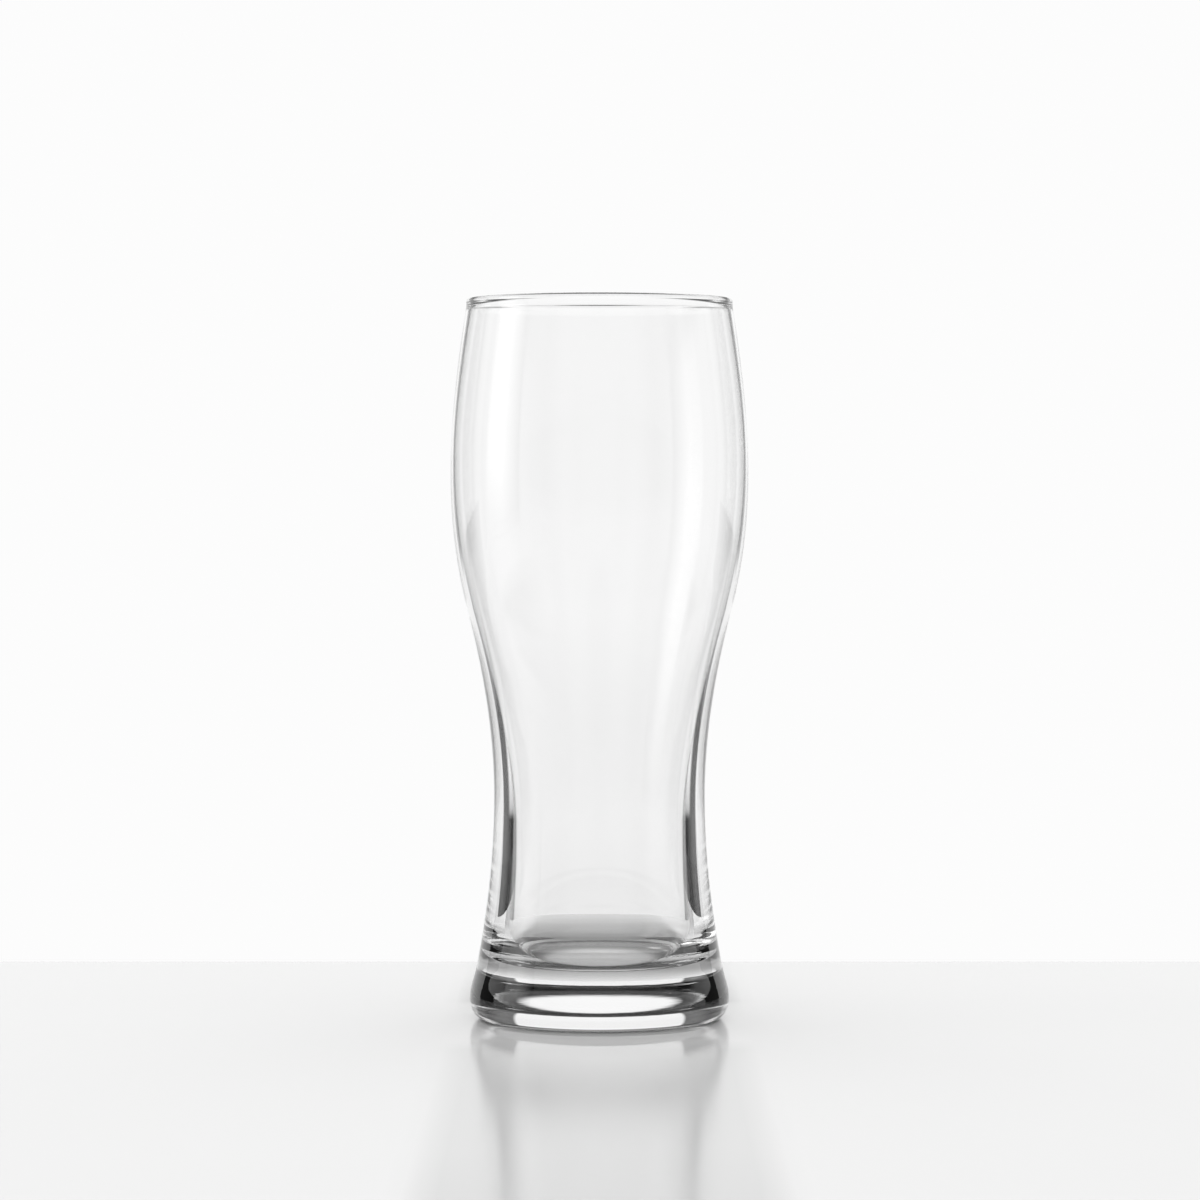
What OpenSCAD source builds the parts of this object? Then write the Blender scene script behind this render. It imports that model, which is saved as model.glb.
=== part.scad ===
// Weizen glass: a tall wheat-beer glass with a wide belly, a narrow waist and a thick round foot.
// It is drawn as the three zones of its glass, each a separate solid. The pressed foot holds the
// floor of the well, the blown bowl is the wall, and the fire-polished rim is the bead on top.
// They meet on flat rings. The origin is the middle of the standing ring, with +Z up.

/* [Outside] */
// Height from the table to the top of the rim
glass_h = 207.8; // [190:0.1:225]
// Diameter of the lip, where the wall starts to thicken into the bead
lip_d = 76.8; // [72:0.1:80]
// How fast the wall closes in at the lip, in mm per mm of height
lip_lean = 0.16; // [0.08:0.01:0.24]
// Diameter of the belly, the widest place
belly_d = 85.9; // [82:0.1:90]
// Height of the belly
belly_h = 157.3; // [145:0.1:165]
// Diameter of the swell, where the wall opens fastest
swell_d = 76.4; // [72:0.1:80]
// Height of the swell
swell_h = 118.5; // [105:0.1:128]
// How fast the wall opens at the swell, in mm per mm of height
swell_slope = 0.26; // [0.2:0.01:0.3]
// Diameter of the waist, the narrowest place
waist_d = 60.9; // [58:0.1:66]
// Height of the waist
waist_h = 63.9; // [58:0.1:72]

/* [Inside] */
// Wall thickness of the belly and the swell
wall = 1.2; // [0.9:0.1:2]
// Wall thickness of the lip
lip_wall = 1.4; // [1.2:0.1:2.2]
// Wall thickness of the waist
waist_wall = 5.4; // [3.5:0.1:7]
// How much higher the inside widens than the outside
inside_lift = 3; // [1:0.5:5]
// Height where the well is narrowest
neck_h = 56; // [45:0.5:57]
// How much wider the well is at its floor than where it is narrowest, on each side
well_spread = 1.2; // [0.8:0.1:2]
// How fast the well closes in over the rounding of its floor, in mm per mm of height
well_slope = 0.08; // [0:0.01:0.1]

/* [Foot] */
// Diameter of the foot at its widest
foot_d = 75.1; // [70:0.1:80]
// Height of the widest place of the foot
foot_edge_h = 6; // [4:0.5:8]
// Width of the rounding under the widest place
foot_edge_in = 4.2; // [3:0.1:6]
// Diameter of the flare over the foot
flare_d = 70.7; // [67:0.1:73]
// Height of the flare
flare_h = 16; // [13:0.5:18]
// How fast the flare closes in, in mm per mm of height
flare_slope = 0.19; // [0.14:0.01:0.24]
// Thickness of solid glass under the middle of the well
base_t = 15.4; // [11:0.1:19]
// Height of the rounding round the floor of the well
floor_rise = 10.5; // [6:0.5:14]
// Width of the rounding round the floor of the well
floor_in = 5; // [3:0.5:9]
// Width of the flat ring that the glass stands on
ring_w = 2.5; // [1.5:0.1:5]
// Depth of the hollow under the foot
punt_h = 2; // [0.5:0.1:4]
// Power of the curve of the hollow, where a higher one gives a flatter middle
punt_power = 5; // [2:1:8]

/* [Rim] */
// Diameter of the glass over its bead
rim_d = 76.6; // [76:0.1:77.2]
// Thickness of the bead
bead_d = 1.95; // [1.7:0.05:2.4]
// Height from the lip up to the middle of the bead
lip_drop = 1.5; // [1.3:0.1:3]

/* [Drawing] */
// Number of steps up the wall of the bowl
wall_steps = 48; // [24:1:72]
// Number of steps along each rounding
arc_steps = 10; // [6:1:16]

/* [Hidden] */
$fn = 120;

bore_r = waist_d / 2 - waist_wall;
well_r = bore_r + well_spread;
floor_past = atan(well_slope * floor_rise / floor_in);
floor_r = well_r - floor_in * cos(floor_past);
foot_top = base_t + floor_rise * (1 + sin(floor_past));
ring_out = foot_d / 2 - foot_edge_in;
ring_in = ring_out - ring_w;
bead_r = bead_d / 2;
bead_z = glass_h - bead_r;
lip_h = bead_z - lip_drop;

// Stations of the outside wall, each [height, radius, slope]
outside = [
    [foot_edge_h, foot_d / 2, 0],
    [flare_h, flare_d / 2, -flare_slope],
    [waist_h, waist_d / 2, 0],
    [swell_h, swell_d / 2, swell_slope],
    [belly_h, belly_d / 2, 0],
    [lip_h, lip_d / 2, -lip_lean]
];

// Stations of the inside wall, from the top of the foot up
inside = [
    [foot_top, well_r, -well_slope],
    [neck_h, bore_r, 0],
    [swell_h + inside_lift, swell_d / 2 - wall, swell_slope],
    [belly_h + inside_lift, belly_d / 2 - wall, 0],
    [lip_h, lip_d / 2 - lip_wall, -lip_lean]
];

// Radius at height z on the cubic between two stations
function blend(a, b, z) =
    let (span = b[0] - a[0])
    let (t = (z - a[0]) / span)
    (2 * t ^ 3 - 3 * t ^ 2 + 1) * a[1]
    + (t ^ 3 - 2 * t ^ 2 + t) * span * a[2]
    + (3 * t ^ 2 - 2 * t ^ 3) * b[1]
    + (t ^ 3 - t ^ 2) * span * b[2];

// Radius at height z on a chain of stations
function radius(chain, z, i = 0) =
    i + 2 >= len(chain) || z <= chain[i + 1][0]
    ? blend(chain[i], chain[i + 1], z)
    : radius(chain, z, i + 1);

// Points up a chain of stations, from height low to height high
function rise(chain, low, high, steps) =
    [for (i = [0 : steps]) let (z = low + (high - low) * i / steps) [radius(chain, z), z]];

// The same points in the other order
function back(points) = [for (i = [len(points) - 1 : -1 : 0]) points[i]];

// Points of a quarter round, from [r + a, z] to [r, z + b], that starts an angle before it
function quarter(r, z, a, b, past = 0) = [
    for (i = [0 : arc_steps])
    let (t = (90 + past) * i / arc_steps - past)
    [r + a * cos(t), z + b * sin(t)]
];

// The foot: a thick pressed disc with a flared top, the rounded floor of the well in its upper
// face, a flat standing ring and a shallow hollow under it.
module foot() {
    hollow = [
        for (i = [0 : arc_steps])
        let (t = i / arc_steps)
        [ring_in * t, punt_h * (1 - t ^ punt_power)]
    ];
    edge = quarter(ring_out, foot_edge_h, foot_edge_in, -foot_edge_h);
    flare = rise(outside, foot_edge_h, foot_top, arc_steps);
    floor_edge = quarter(floor_r, base_t + floor_rise, floor_in, -floor_rise, floor_past);
    color([0.88, 0.9, 0.91])
        rotate_extrude()
            polygon(concat(hollow, back(edge), flare, floor_edge, [[0, base_t]]));
}

// The bowl: the wall of the glass, from the top of the foot through the waist and the belly to
// the lip, thick round the well and thin above it.
module bowl() {
    color([0.93, 0.95, 0.96])
        rotate_extrude()
            polygon(concat(
                rise(outside, foot_top, lip_h, wall_steps),
                back(rise(inside, foot_top, lip_h, wall_steps))
            ));
}

// Angle at which a straight line from a point beside and under the bead touches it
function touch(out, side) = atan2(-lip_drop, out) + side * acos(bead_r / norm([out, lip_drop]));

// The rim: the round bead that the flame leaves on the cut edge of the wall. The wall thickens
// into it without a step, on straight lines that touch the bead.
module rim() {
    middle = rim_d / 2 - bead_r;
    lip_out = lip_d / 2 - middle;
    lip_in = lip_out - lip_wall;
    start = touch(lip_out, 1);
    turn = 360 + touch(lip_in, -1) - start;
    bead = [
        for (i = [0 : 2 * arc_steps])
        let (t = start + turn * i / (2 * arc_steps))
        [middle + bead_r * cos(t), bead_z + bead_r * sin(t)]
    ];
    color([0.8, 0.83, 0.85])
        rotate_extrude()
            polygon(concat([[middle + lip_out, lip_h]], bead, [[middle + lip_in, lip_h]]));
}

foot();
bowl();
rim();
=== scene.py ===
import math

import bmesh
import bpy
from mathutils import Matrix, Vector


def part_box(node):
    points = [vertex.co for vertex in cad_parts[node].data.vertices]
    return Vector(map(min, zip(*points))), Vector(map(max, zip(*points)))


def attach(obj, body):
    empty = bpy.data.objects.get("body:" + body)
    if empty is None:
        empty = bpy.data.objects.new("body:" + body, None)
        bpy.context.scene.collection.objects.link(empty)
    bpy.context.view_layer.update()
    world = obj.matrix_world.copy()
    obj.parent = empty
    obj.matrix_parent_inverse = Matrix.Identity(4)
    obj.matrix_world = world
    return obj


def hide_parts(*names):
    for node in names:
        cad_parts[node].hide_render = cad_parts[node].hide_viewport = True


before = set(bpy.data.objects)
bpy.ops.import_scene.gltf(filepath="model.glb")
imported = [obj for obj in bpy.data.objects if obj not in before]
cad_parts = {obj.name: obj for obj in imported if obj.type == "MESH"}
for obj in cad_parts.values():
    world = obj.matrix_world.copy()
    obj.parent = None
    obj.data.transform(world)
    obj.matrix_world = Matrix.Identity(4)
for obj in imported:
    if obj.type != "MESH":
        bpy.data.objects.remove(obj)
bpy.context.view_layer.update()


# The glass
# A wheat-beer glass is one continuous piece of clear soda-lime glass, pressed and blown in a
# turning mould, so no seam shows. Its cut mouth is melted round in a flame. The three solids of
# the frame are zones of that one piece, so one turned mesh stands for all of them.

foot_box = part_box("foot")
bowl_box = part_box("bowl")
rim_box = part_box("rim")

glass_h = rim_box[1].z
foot_top = foot_box[1].z
lip_h = bowl_box[1].z
foot_r = foot_box[1].x
belly_r = bowl_box[1].x
rim_r = rim_box[1].x

bead_r = 0.000975
lip_r = 0.0384
lip_wall = 0.0014
lip_lean = 0.16
belly_h = 0.1573
swell_r = 0.0382
swell_h = 0.1185
swell_slope = 0.26
waist_r = 0.03045
waist_h = 0.0639
flare_r = 0.03535
flare_h = 0.016
flare_slope = 0.19

thin_wall = 0.0012
waist_wall = 0.0054
inside_lift = 0.003
neck_h = 0.056
well_spread = 0.0012
well_slope = 0.08
base_t = 0.0154
floor_rise = 0.0105
floor_in = 0.005

foot_edge_h = 0.006
foot_edge_in = 0.0042
ring_w = 0.0025
punt_h = 0.002
punt_power = 5

# Steps of the mesh along each run of the outline, and round the glass
punt_steps = 60
ring_steps = 4
round_steps = 30
outside_steps = 44
bead_steps = 36
inside_steps = 40
floor_steps = 16
glass_sides = 192

# The streaks fade in and out by height, each (share of the height, share of the depth)
glass_ior = 1.5
tint_level = 0.5
streaks_per_metre = (130, 130, 2400)
streak_depth = 3e-6
streaked_zone = [(0.01, 0), (0.03, 1), (0.1, 1), (0.135, 0)]

bore_r = waist_r - waist_wall
well_r = bore_r + well_spread
floor_past = math.atan(well_slope * floor_rise / floor_in)
floor_r = well_r - floor_in * math.cos(floor_past)
ring_out = foot_r - foot_edge_in
ring_in = ring_out - ring_w
bead_z = glass_h - bead_r
bead_middle = rim_r - bead_r

# Stations of the wall, each (height, radius, slope)
outside = [
    (foot_edge_h, foot_r, 0),
    (flare_h, flare_r, -flare_slope),
    (waist_h, waist_r, 0),
    (swell_h, swell_r, swell_slope),
    (belly_h, belly_r, 0),
    (lip_h, lip_r, -lip_lean),
]
inside = [
    (foot_top, well_r, -well_slope),
    (neck_h, bore_r, 0),
    (swell_h + inside_lift, swell_r - thin_wall, swell_slope),
    (belly_h + inside_lift, belly_r - thin_wall, 0),
    (lip_h, lip_r - lip_wall, -lip_lean),
]


def wall_curve(stations, steps_each):
    """Points up the wall, on a cubic between each two stations."""
    points = []
    for (z0, r0, s0), (z1, r1, s1) in zip(stations, stations[1:]):
        span = z1 - z0
        for i in range(steps_each):
            t = i / steps_each
            r = (
                (2 * t**3 - 3 * t**2 + 1) * r0
                + (t**3 - 2 * t**2 + t) * span * s0
                + (3 * t**2 - 2 * t**3) * r1
                + (t**3 - t**2) * span * s1
            )
            points.append((r, z0 + span * t))
    return points + [(stations[-1][1], stations[-1][0])]


def quarter_round(r, z, width, height, steps, past=0):
    """Points of a quarter round, from (r, z + height) to (r + width, z) and an angle past it."""
    turn = [(math.pi / 2 + past) * i / steps for i in range(steps + 1)]
    return [(r + width * math.sin(t), z + height * math.cos(t)) for t in turn]


def bead_touch(r, z, way):
    """The angle at which a straight line from a point of the lip touches the bead."""
    away = math.hypot(r - bead_middle, z - bead_z)
    return math.atan2(z - bead_z, r - bead_middle) + way * math.acos(bead_r / away)


def glass_section():
    """The outline of one half of the glass, from the middle of the punt out, up and back in."""
    shares = [i / punt_steps for i in range(punt_steps + 1)]
    punt = [(ring_in * t, punt_h * (1 - t**punt_power)) for t in shares]
    ring = [(ring_in + ring_w * i / ring_steps, 0) for i in range(1, ring_steps)]
    edge = quarter_round(ring_out, foot_edge_h, foot_edge_in, -foot_edge_h, round_steps)
    wall_out = wall_curve(outside, outside_steps)
    start = bead_touch(lip_r, lip_h, 1)
    end = bead_touch(lip_r - lip_wall, lip_h, -1) + 2 * math.pi
    turn = [start + (end - start) * i / bead_steps for i in range(bead_steps + 1)]
    bead = [(bead_middle + bead_r * math.cos(t), bead_z + bead_r * math.sin(t)) for t in turn]
    wall_in = wall_curve(inside, inside_steps)[::-1]
    round_h = base_t + floor_rise
    floor_edge = quarter_round(floor_r, round_h, floor_in, -floor_rise, round_steps, floor_past)[::-1]
    floor = [(floor_r * i / floor_steps, base_t) for i in range(floor_steps - 1, -1, -1)]
    return punt + ring + edge + wall_out[1:] + bead + wall_in + floor_edge[1:] + floor


def turned_mesh(name, section, sides):
    """A mesh turned about the Z axis from an outline that starts and ends on the axis."""
    mesh = bmesh.new()
    rings = []
    for r, z in section:
        turns = 1 if r < 1e-7 else sides
        around = [2 * math.pi * k / sides for k in range(turns)]
        rings.append([mesh.verts.new((r * math.cos(a), r * math.sin(a), z)) for a in around])
    for low, high in zip(rings, rings[1:]):
        for k in range(sides):
            corners = [low[k % len(low)], low[(k + 1) % len(low)]]
            corners += [high[(k + 1) % len(high)], high[k % len(high)]]
            mesh.faces.new(list(dict.fromkeys(corners)))
    for face in mesh.faces:
        face.smooth = True
    data = bpy.data.meshes.new(name)
    mesh.to_mesh(data)
    mesh.free()
    piece = bpy.data.objects.new(name, data)
    bpy.context.scene.collection.objects.link(piece)
    return piece


def add_node(tree, kind, **settings):
    made = tree.nodes.new(kind)
    for key, value in settings.items():
        setattr(made, key, value)
    return made


def grey_ramp(tree, source, stops):
    """A ramp of greys through (place, level) stops."""
    ramp = add_node(tree, "ShaderNodeValToRGB")
    marks = ramp.color_ramp.elements
    marks.remove(marks[1])
    for i, (place, level) in enumerate(stops):
        mark = marks[0] if i == 0 else marks.new(place)
        mark.position = place
        mark.color = (level, level, level, 1)
    tree.links.new(source, ramp.inputs[0])
    return ramp.outputs[0]


def clear_glass():
    """Clear glass with a breath of grey, and fine streaks from the turning mould round the foot."""
    glass = bpy.data.materials.new("clear_glass")
    glass.use_nodes = True
    tree = glass.node_tree
    shader = tree.nodes["Principled BSDF"]
    shader.inputs["Base Color"].default_value = (1, 1, 1, 1)
    shader.inputs["Roughness"].default_value = 0
    shader.inputs["IOR"].default_value = glass_ior
    shader.inputs["Transmission Weight"].default_value = 1

    tint = add_node(tree, "ShaderNodeVolumeAbsorption")
    tint.inputs["Color"].default_value = (tint_level, tint_level, tint_level, 1)
    tint.inputs["Density"].default_value = 1
    tree.links.new(tint.outputs[0], tree.nodes["Material Output"].inputs["Volume"])

    place = add_node(tree, "ShaderNodeTexCoord")
    streak_scale = add_node(tree, "ShaderNodeMapping")
    streak_scale.inputs["Scale"].default_value = streaks_per_metre
    tree.links.new(place.outputs["Object"], streak_scale.inputs[0])
    streaks = add_node(tree, "ShaderNodeTexNoise")
    streaks.inputs["Scale"].default_value = 1
    streaks.inputs["Detail"].default_value = 3
    tree.links.new(streak_scale.outputs[0], streaks.inputs["Vector"])

    height = add_node(tree, "ShaderNodeSeparateXYZ")
    tree.links.new(place.outputs["Object"], height.inputs[0])
    height_share = add_node(tree, "ShaderNodeMapRange")
    height_share.inputs["From Max"].default_value = glass_h
    tree.links.new(height.outputs["Z"], height_share.inputs[0])
    foot_only = grey_ramp(tree, height_share.outputs[0], streaked_zone)
    depth = add_node(tree, "ShaderNodeMath", operation="MULTIPLY")
    tree.links.new(streaks.outputs[0], depth.inputs[0])
    tree.links.new(foot_only, depth.inputs[1])
    bump = add_node(tree, "ShaderNodeBump")
    bump.inputs["Strength"].default_value = 1
    bump.inputs["Distance"].default_value = streak_depth
    tree.links.new(depth.outputs[0], bump.inputs["Height"])
    tree.links.new(bump.outputs[0], shader.inputs["Normal"])
    return glass


weizen_glass = turned_mesh("weizen_glass", glass_section(), glass_sides)
weizen_glass.data.materials.append(clear_glass())
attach(weizen_glass, "root")
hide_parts("foot", "bowl", "rim")


# The table
# A pale lacquered board that the glass stands on, with a low gloss that mirrors the foot softly.
# Its far edge lies a hand's width behind the glass. The strip that the glass shades in front of it
# and behind it, and the light that it gathers under its well, are painted in the lacquer.

table_w = 4
table_front = -1
table_back = 0.144
table_t = 0.03
table_gap = 0.00005
board_tone = 0.84
lacquer_roughness = 0.15
lacquer_ior = 1.45
well_glow = 0.4

# Where the painted parts end, each from full to none: the strip to the sides, the bare round under
# the foot and the light under the well
strip_in, strip_out = 0.036, 0.044
bare_in, bare_out = 0.03, 0.036
light_in, light_out = 0.015, 0.022

# Tones of the strip by their place along the board, each (y, tone)
shade_start = -0.8
shade_along = [
    (-0.44, board_tone),
    (-0.32, 0.63),
    (-0.24, 0.68),
    (-0.07, 0.69),
    (-0.055, 0.8),
    (-0.05, board_tone),
    (0, board_tone),
    (0.03, 0.6),
    (0.04, 0.36),
    (0.065, 0.42),
    (0.095, 0.58),
    (0.11, 0.68),
]

board = bmesh.new()
bmesh.ops.create_cube(board, size=1)
bmesh.ops.scale(board, vec=(table_w, table_back - table_front, table_t), verts=board.verts)
middle = ((table_front + table_back) / 2, -table_t / 2 - table_gap)
bmesh.ops.translate(board, vec=(0, *middle), verts=board.verts)
table_mesh = bpy.data.meshes.new("table")
board.to_mesh(table_mesh)
board.free()
table = bpy.data.objects.new("table", table_mesh)
bpy.context.scene.collection.objects.link(table)

lacquer = bpy.data.materials.new("pale_lacquer_painted_shade_and_light")
lacquer.use_nodes = True
lacquer_tree = lacquer.node_tree
lacquer_shader = lacquer_tree.nodes["Principled BSDF"]
on_board = add_node(lacquer_tree, "ShaderNodeTexCoord")


def board_distance(scale, start=0):
    """Distance over the board from the middle of the glass, or from a line across the board."""
    plan = add_node(lacquer_tree, "ShaderNodeMapping")
    plan.inputs["Location"].default_value = (0, -start, 0)
    plan.inputs["Scale"].default_value = scale
    lacquer_tree.links.new(on_board.outputs["Object"], plan.inputs[0])
    away = add_node(lacquer_tree, "ShaderNodeVectorMath", operation="LENGTH")
    lacquer_tree.links.new(plan.outputs[0], away.inputs[0])
    return away.outputs["Value"]


def mixed(tree, share, first, second):
    """A mix of two levels, each a socket or a number."""
    mix = add_node(tree, "ShaderNodeMixRGB")
    tree.links.new(share, mix.inputs[0])
    for socket, level in ((mix.inputs[1], first), (mix.inputs[2], second)):
        if isinstance(level, (int, float)):
            socket.default_value = (level, level, level, 1)
        else:
            tree.links.new(level, socket)
    return mix.outputs[0]


strip = grey_ramp(
    lacquer_tree,
    board_distance((0, 1, 0), shade_start),
    [(y - shade_start, tone) for y, tone in shade_along],
)
from_middle = board_distance((1, 1, 0))
beside_glass = grey_ramp(lacquer_tree, board_distance((1, 0, 0)), [(strip_in, 0), (strip_out, 1)])
under_glass = grey_ramp(lacquer_tree, from_middle, [(bare_in, 1), (bare_out, 0)])
under_well = grey_ramp(lacquer_tree, from_middle, [(light_in, 1), (light_out, 0)])
# The board's own tone with the painted shade of the glass laid over it, and a painted glow of light
# under the well
shaded = mixed(lacquer_tree, beside_glass, strip, board_tone)
board_tone_and_painted_shade = mixed(lacquer_tree, under_glass, shaded, board_tone)
lacquer_tree.links.new(board_tone_and_painted_shade, lacquer_shader.inputs["Base Color"])
lacquer_tree.links.new(under_well, lacquer_shader.inputs["Emission Color"])
lacquer_shader.inputs["Emission Strength"].default_value = well_glow
lacquer_shader.inputs["Roughness"].default_value = lacquer_roughness
lacquer_shader.inputs["IOR"].default_value = lacquer_ior
table_mesh.materials.append(lacquer)


# The studio
# The room is an even pale field. For what the glass bends and mirrors, it is greyer at the sides,
# with a dark ring of ceiling that draws the lines of the rim and the foot. Two dark flags far
# behind the table draw the edges of the waist.

background_level = 0.975
glass_room_level = 1.07

studio = bpy.data.worlds.new("studio")
bpy.context.scene.world = studio
studio.use_nodes = True
room = studio.node_tree
room.nodes.clear()

direction = add_node(room, "ShaderNodeTexCoord")
parts = add_node(room, "ShaderNodeSeparateXYZ")
room.links.new(direction.outputs["Generated"], parts.inputs[0])
bearing = add_node(room, "ShaderNodeMath", operation="ARCTAN2")
room.links.new(parts.outputs["X"], bearing.inputs[0])
room.links.new(parts.outputs["Y"], bearing.inputs[1])
side = add_node(room, "ShaderNodeMath", operation="ABSOLUTE")
room.links.new(bearing.outputs[0], side.inputs[0])
turned = add_node(room, "ShaderNodeMath", operation="DIVIDE")
room.links.new(side.outputs[0], turned.inputs[0])
turned.inputs[1].default_value = math.pi
climb = add_node(room, "ShaderNodeMath", operation="ARCSINE")
room.links.new(parts.outputs["Z"], climb.inputs[0])
raised = add_node(room, "ShaderNodeMapRange")
raised.inputs["From Min"].default_value = -math.pi / 2
raised.inputs["From Max"].default_value = math.pi / 2
room.links.new(climb.outputs[0], raised.inputs[0])


def by_side(stops):
    """Levels of the room by degrees away from the middle of the backdrop."""
    return grey_ramp(room, turned.outputs[0], [(a / 180, v) for a, v in stops])


def by_height(stops):
    """Levels of the room by degrees above the horizon."""
    return grey_ramp(room, raised.outputs[0], [((a + 90) / 180, v) for a, v in stops])


def multiplied(tree, first, second):
    product = add_node(tree, "ShaderNodeMixRGB", blend_type="MULTIPLY")
    product.inputs[0].default_value = 1
    tree.links.new(first, product.inputs[1])
    tree.links.new(second, product.inputs[2])
    return product.outputs[0]


# What the glass mirrors, and what it bends before the far flags are laid over that
ceiling = by_height(
    [(-9, 0.85), (-5, 0.9), (-2, 0.92), (3, 0.915), (6.5, 0.96), (14, 0.98), (16, 0.05)]
)
behind_camera = multiplied(room, by_side([(100, 0), (130, 1)]), by_height([(30, 1), (38, 0)]))
mirror_walls = by_side(
    [(0, 0.97), (60, 0.97), (75, 0.9), (105, 0.85), (120, 0.6), (135, 0.4), (150, 0.6)]
)
mirrored = mixed(room, behind_camera, multiplied(room, mirror_walls, ceiling), mirror_walls)
walls = by_side(
    [(0, 0.97), (30, 0.95), (45, 0.6), (60, 0.6), (75, 0.85), (105, 0.85), (120, 0.6)]
    + [(135, 0.4), (150, 0.6)]
)
lit_room = mixed(room, behind_camera, multiplied(room, walls, ceiling), walls)
low_middle = by_height([(-28, 0.05), (-23, 0.85)])
low_room = mixed(room, by_side([(12, 0), (20, 1)]), low_middle, 0.92)
whole_height = mixed(room, by_height([(-16, 1), (-11, 0)]), lit_room, low_room)

# The far flags, narrower where they are low
low_flags = by_side([(28.5, 1), (30, 0.13), (42, 0.13), (46, 1)])
high_flags = by_side(
    [(28.5, 1), (30, 0.13), (36, 0.17), (42, 0.12), (47, 0.03), (53, 0.07), (60, 0.07), (70, 1)]
)
far_flags = mixed(room, by_height([(-11, 0), (-9.5, 1)]), low_flags, high_flags)
flag_reach = by_height([(-19.5, 0), (-19, 1), (16, 1), (18, 0)])
through_glass = multiplied(room, whole_height, mixed(room, flag_reach, 1, far_flags))

# Plain for the camera, soft on the table, flagged for the glass
backdrop = add_node(room, "ShaderNodeBackground")
backdrop.inputs[0].default_value = (background_level, background_level, background_level, 1)
soft_fill = add_node(room, "ShaderNodeBackground")
room.links.new(by_side([(0, 1.5), (40, 1.4), (80, 0.85)]), soft_fill.inputs[0])
ray = add_node(room, "ShaderNodeLightPath")
bent_or_mirrored = mixed(room, ray.outputs["Is Transmission Ray"], mirrored, through_glass)
flagged_room = add_node(room, "ShaderNodeBackground")
room.links.new(bent_or_mirrored, flagged_room.inputs[0])
flagged_room.inputs[1].default_value = glass_room_level
fill_or_flags = add_node(room, "ShaderNodeMixShader")
room.links.new(ray.outputs["Is Diffuse Ray"], fill_or_flags.inputs[0])
room.links.new(flagged_room.outputs[0], fill_or_flags.inputs[1])
room.links.new(soft_fill.outputs[0], fill_or_flags.inputs[2])
whole_room = add_node(room, "ShaderNodeMixShader")
room.links.new(ray.outputs["Is Camera Ray"], whole_room.inputs[0])
room.links.new(fill_or_flags.outputs[0], whole_room.inputs[1])
room.links.new(backdrop.outputs[0], whole_room.inputs[2])
room_out = add_node(room, "ShaderNodeOutputWorld")
room.links.new(whole_room.outputs[0], room_out.inputs[0])


# The cards
# Two cards stand behind the table, one at each side of the belly, where clear glass bends them in
# at its edges. Each is black along an inner edge that leans in upwards, and paler further out. Two
# low black cards show only where the glass mirrors them, at the sides of the foot.

flag_y = 0.28
flag_in, flag_out = 0.13, 0.8
flag_low, flag_high = -0.15, 0.5

black_card = bpy.data.materials.new("black_card")
black_card.use_nodes = True
card = black_card.node_tree
card.nodes.clear()
on_card = add_node(card, "ShaderNodeTexCoord")
card_parts = add_node(card, "ShaderNodeSeparateXYZ")
card.links.new(on_card.outputs["Object"], card_parts.inputs[0])


def up_card(stops):
    """Levels of the card by height over the table."""
    return grey_ramp(card, card_parts.outputs["Z"], [(z - flag_low, v) for z, v in stops])


edge_lean = up_card([(0.07, 0.0277), (0.1, 0.038), (0.16, 0.047), (0.2, 0.053)])
from_edge = add_node(card, "ShaderNodeMath")
card.links.new(card_parts.outputs["X"], from_edge.inputs[0])
card.links.new(edge_lean, from_edge.inputs[1])
across = grey_ramp(card, from_edge.outputs[0], [(0.19, 0), (0.195, 1), (0.6, 1), (0.65, 0)])
card_cover = multiplied(card, across, up_card([(0.08, 0), (0.1, 1)]))
card_tone = grey_ramp(
    card,
    from_edge.outputs[0],
    [(0.195, 0.05), (0.26, 0.08), (0.32, 0.35), (0.36, 0.6), (0.42, 0.88)],
)
card_glow = add_node(card, "ShaderNodeEmission")
card.links.new(card_tone, card_glow.inputs["Color"])
card_gap = add_node(card, "ShaderNodeBsdfTransparent")
card_face = add_node(card, "ShaderNodeMixShader")
card.links.new(card_cover, card_face.inputs[0])
card.links.new(card_gap.outputs[0], card_face.inputs[1])
card.links.new(card_glow.outputs[0], card_face.inputs[2])
card_out = add_node(card, "ShaderNodeOutputMaterial")
card.links.new(card_face.outputs[0], card_out.inputs["Surface"])

low_in, low_out = 0.36, 1.0
low_bottom, low_top = -0.09, 0.1
low_tone = 0.08

low_card = bpy.data.materials.new("low_card")
low_card.use_nodes = True
low_tree = low_card.node_tree
low_tree.nodes.clear()
low_glow = add_node(low_tree, "ShaderNodeEmission")
low_glow.inputs["Color"].default_value = (low_tone, low_tone, low_tone, 1)
low_face = add_node(low_tree, "ShaderNodeOutputMaterial")
low_tree.links.new(low_glow.outputs[0], low_face.inputs["Surface"])


def stand_card(name, way, inner, outer, bottom, top, material):
    """A card that stands across the view, at one side of the glass."""
    flat = bpy.data.meshes.new(name)
    corners = [(inner, 0, 0), (outer, 0, 0), (outer, 0, top - bottom), (inner, 0, top - bottom)]
    flat.from_pydata(corners, [], [(0, 1, 2, 3)])
    flat.materials.append(material)
    flag = bpy.data.objects.new(name, flat)
    bpy.context.scene.collection.objects.link(flag)
    flag.location = (0, flag_y, bottom)
    flag.scale.x = way
    flag.visible_camera = False
    flag.visible_diffuse = False
    flag.visible_shadow = False
    return flag


for side_name, way in (("left", -1), ("right", 1)):
    tall = stand_card("flag_" + side_name, way, flag_in, flag_out, flag_low, flag_high, black_card)
    tall.visible_glossy = False
    low = stand_card("low_flag_" + side_name, way, low_in, low_out, low_bottom, low_top, low_card)
    low.visible_transmission = False


# The softbox
# A tall soft lamp at the left, a little in front of the glass. Its face fades towards its front
# and lower edges, and it draws the long highlights down the belly.

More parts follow.
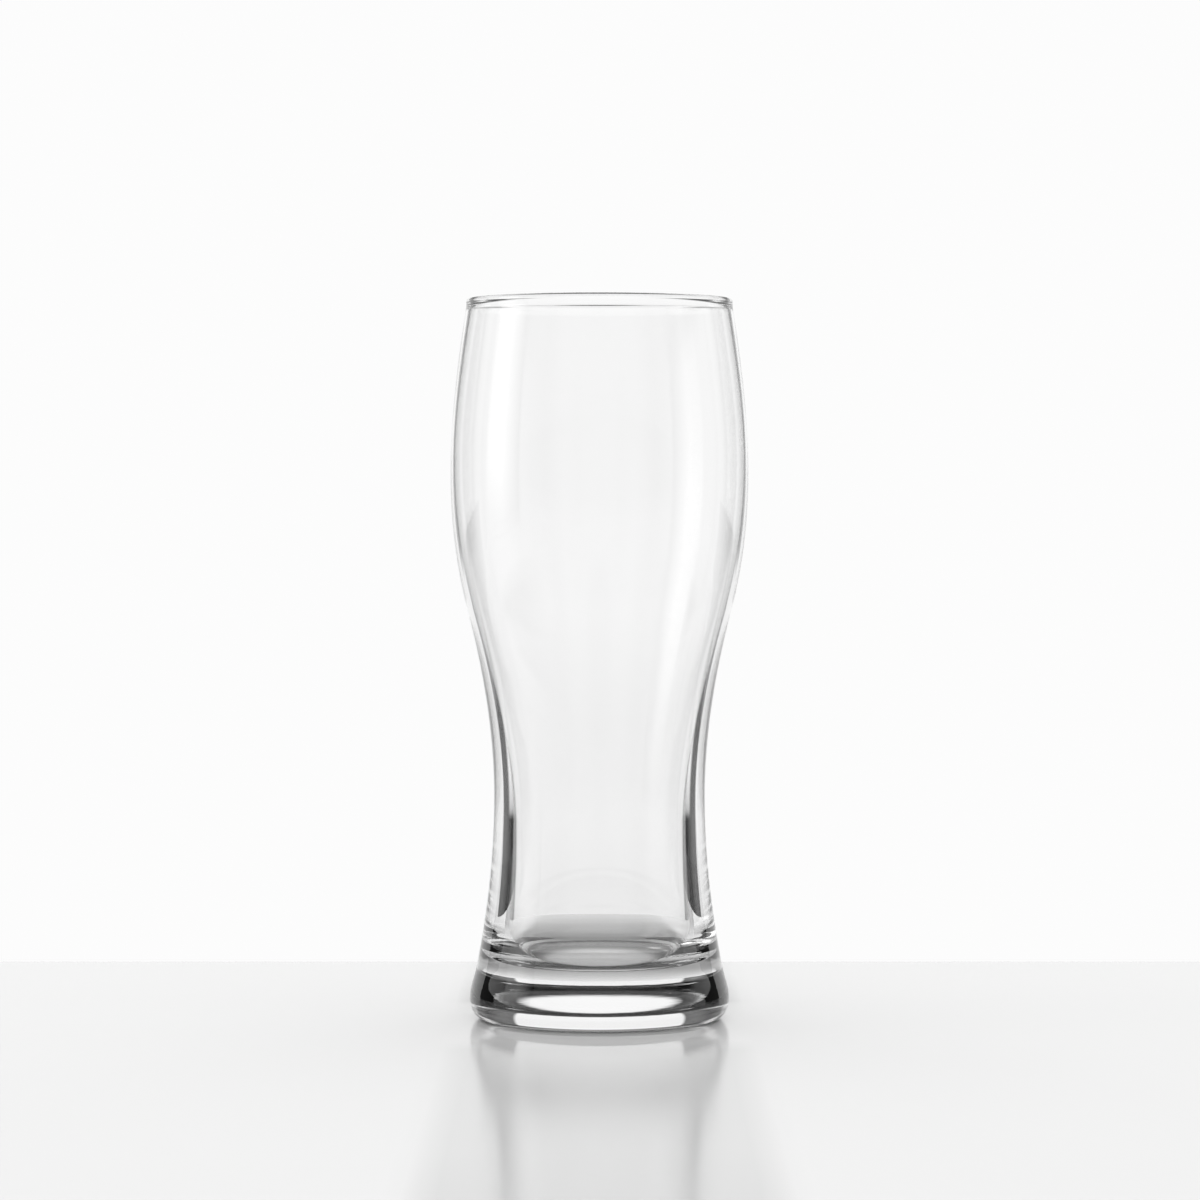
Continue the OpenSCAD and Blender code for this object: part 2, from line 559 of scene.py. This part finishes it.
softbox_x = -0.9
softbox_front, softbox_back = -0.45, 0.09
softbox_low, softbox_high = 0.0, 0.75
softbox_level = 2

softbox_mesh = bpy.data.meshes.new("softbox")
softbox_mesh.from_pydata(
    [
        (softbox_x, softbox_front, softbox_low),
        (softbox_x, softbox_back, softbox_low),
        (softbox_x, softbox_back, softbox_high),
        (softbox_x, softbox_front, softbox_high),
    ],
    [],
    [(0, 1, 2, 3)],
)
softbox = bpy.data.objects.new("softbox", softbox_mesh)
bpy.context.scene.collection.objects.link(softbox)
softbox.visible_camera = False

lamp_cloth = bpy.data.materials.new("softbox_cloth")
lamp_cloth.use_nodes = True
cloth = lamp_cloth.node_tree
cloth.nodes.clear()
on_cloth = add_node(cloth, "ShaderNodeTexCoord")
cloth_parts = add_node(cloth, "ShaderNodeSeparateXYZ")
cloth.links.new(on_cloth.outputs["Generated"], cloth_parts.inputs[0])
along = grey_ramp(cloth, cloth_parts.outputs["Y"], [(0, 0), (0.55, 1), (1, 0.75)])
upward = grey_ramp(cloth, cloth_parts.outputs["Z"], [(0, 0.5), (0.25, 1)])
glow = add_node(cloth, "ShaderNodeEmission")
glow.inputs["Strength"].default_value = softbox_level
cloth.links.new(multiplied(cloth, along, upward), glow.inputs["Color"])
cloth_out = add_node(cloth, "ShaderNodeOutputMaterial")
cloth.links.new(glow.outputs[0], cloth_out.inputs["Surface"])
softbox_mesh.materials.append(lamp_cloth)


# The camera
# A long lens at the height of the belly, tipped down a little, so that the rim shows as a thin
# ellipse from below and the floor of the well from above.

lens_mm = 124.2
sensor_mm = 36
camera_at = (0.00015, -1.1952, 0.15136)
tip_down = math.radians(1.459)

lens = bpy.data.cameras.new("camera")
lens.sensor_width = sensor_mm
lens.lens = lens_mm
camera = bpy.data.objects.new("camera", lens)
bpy.context.scene.collection.objects.link(camera)
camera.location = camera_at
camera.rotation_euler = (math.pi / 2 - tip_down, 0, 0)
bpy.context.scene.camera = camera

bpy.context.scene.view_settings.view_transform = "Standard"
bpy.context.scene.cycles.max_bounces = 24
bpy.context.scene.cycles.transmission_bounces = 24
bpy.context.scene.cycles.glossy_bounces = 12
